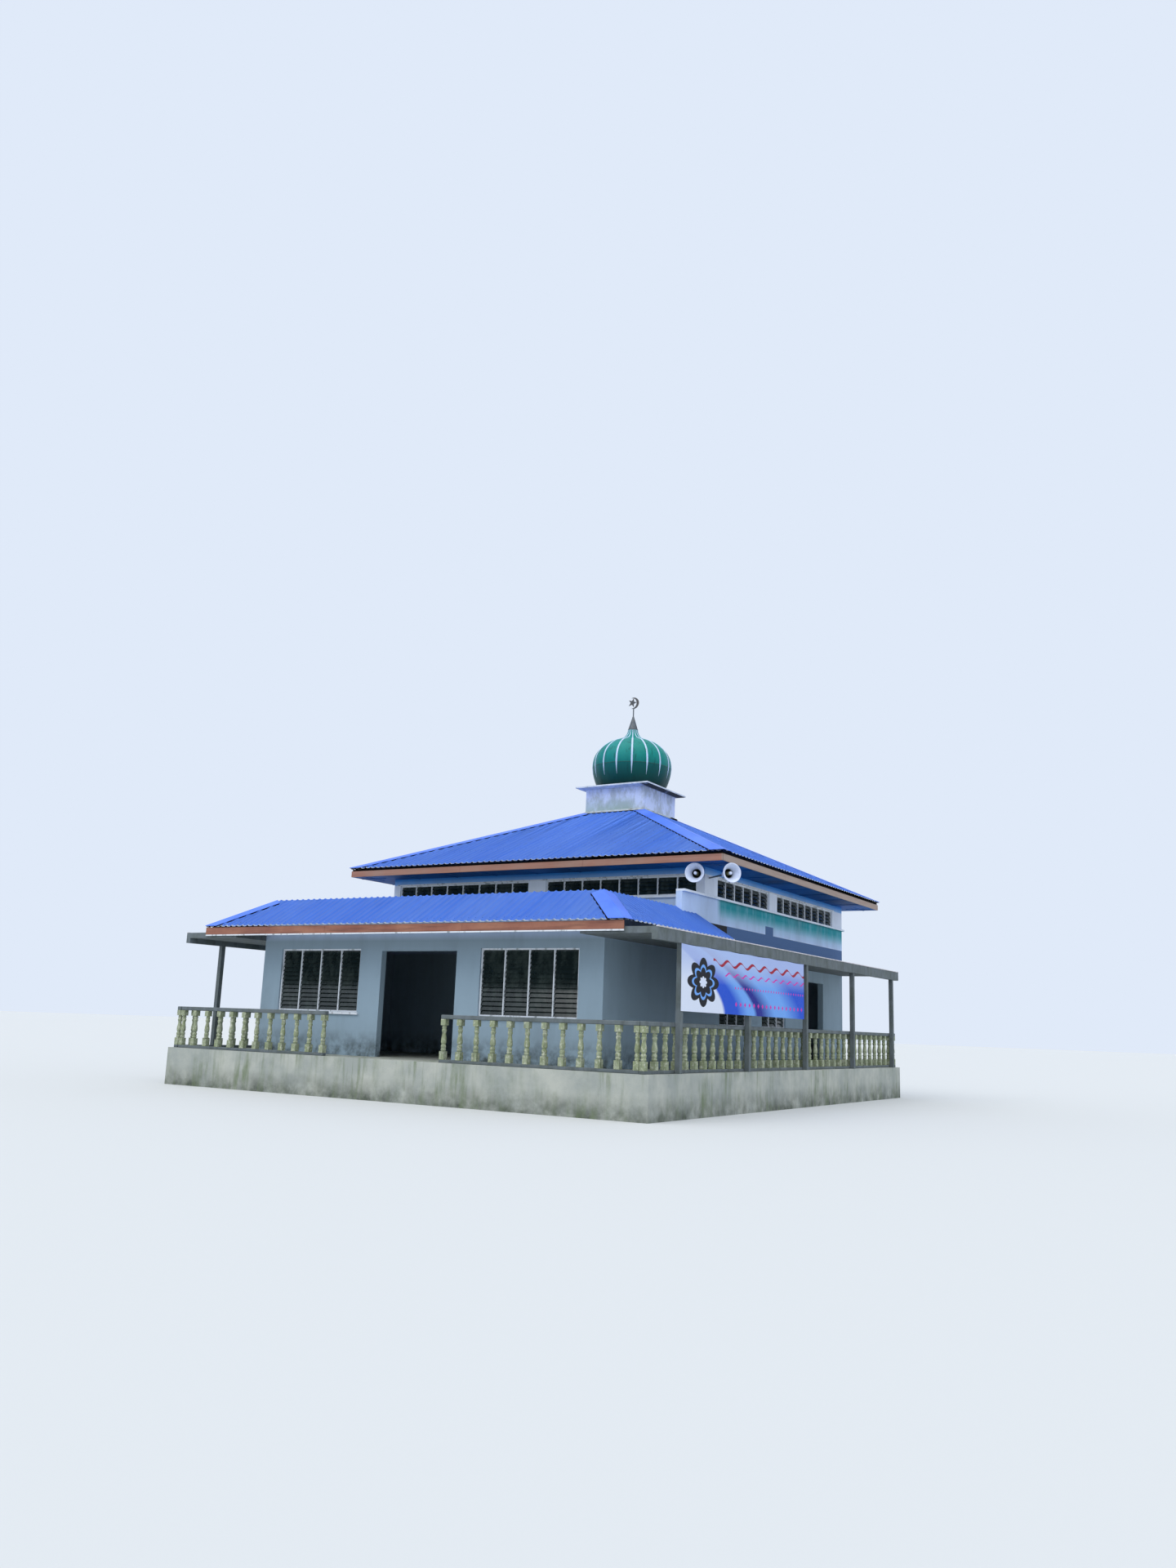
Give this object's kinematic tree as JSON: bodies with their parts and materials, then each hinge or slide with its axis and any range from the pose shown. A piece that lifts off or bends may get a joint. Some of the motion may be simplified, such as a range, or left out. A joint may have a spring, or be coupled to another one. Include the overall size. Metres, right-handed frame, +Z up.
{
  "type": "small village mosque",
  "caption": "Square prayer hall with a pyramid sheet roof, a ribbed onion dome on a square drum, a hipped porch and side verandahs with balustrades on a raised floor.",
  "frame": {"origin": "on the ground, at the underside of the raised floor, under the middle of the prayer hall", "axes": "+Z up, +X to the right of someone facing the entrance front, -Y out of the entrance front"},
  "size_m": [12.2, 15.24, 10.784],
  "materials": {
    "plinth": "matt, weathered cement",
    "upper_wall": "matt, weathered limewash blue over a teal band",
    "lower_wall": "matt, weathered wall paint",
    "louvre_glass": "dusty louvre glass",
    "window_glass": "dusty window glass",
    "ceiling": "matt painted board",
    "fascia": "painted board, faded",
    "roof_sheet": "colour coated ribbed steel sheet",
    "hip_cap": "colour coated steel capping",
    "drum": "matt plaster with green streaks",
    "slab": "matt weathered concrete",
    "dome": "gloss enamel on sheet",
    "spire": "weathered grey enamel",
    "horn": "satin light grey enamel",
    "lower_fascia": "painted board, faded",
    "concrete": "matt weathered concrete",
    "baluster": "matt cast cement, old cream paint",
    "banner": "printed banner cloth, no lettering"
  },
  "bodies": {
    "root": {"plinth": "plinth", "right_wall": "upper_wall", "left_wall": "upper_wall", "hall_front_wall": "upper_wall", "back_wall": "upper_wall", "porch_front_wall": "lower_wall", "front_clerestory_glass": "louvre_glass", "right_clerestory_glass": "louvre_glass", "back_clerestory_glass": "louvre_glass", "left_clerestory_glass": "louvre_glass", "right_window_glass": "window_glass", "left_window_glass": "window_glass", "back_window_glass": "window_glass", "porch_left_window_glass": "window_glass", "porch_right_window_glass": "window_glass", "ceiling": "ceiling", "eave_fascia": "fascia", "front_roof_slope": "roof_sheet", "right_roof_slope": "roof_sheet", "back_roof_slope": "roof_sheet", "left_roof_slope": "roof_sheet", "front_skirt_roof": "roof_sheet", "right_skirt_roof": "roof_sheet", "left_skirt_roof": "roof_sheet", "front_right_hip_cap": "hip_cap", "right_back_hip_cap": "hip_cap", "back_left_hip_cap": "hip_cap", "left_front_hip_cap": "hip_cap", "drum": "drum", "drum_slab": "slab", "porch_deck": "slab", "dome": "dome", "spire": "spire", "front_horn": "horn", "side_horn": "horn", "porch_fascia": "lower_fascia", "right_canopy": "concrete", "left_canopy": "concrete", "right_balustrade": "baluster", "left_balustrade": "baluster", "front_right_balustrade": "baluster", "front_left_balustrade": "baluster", "banner": "banner"}
  },
  "joints": []
}
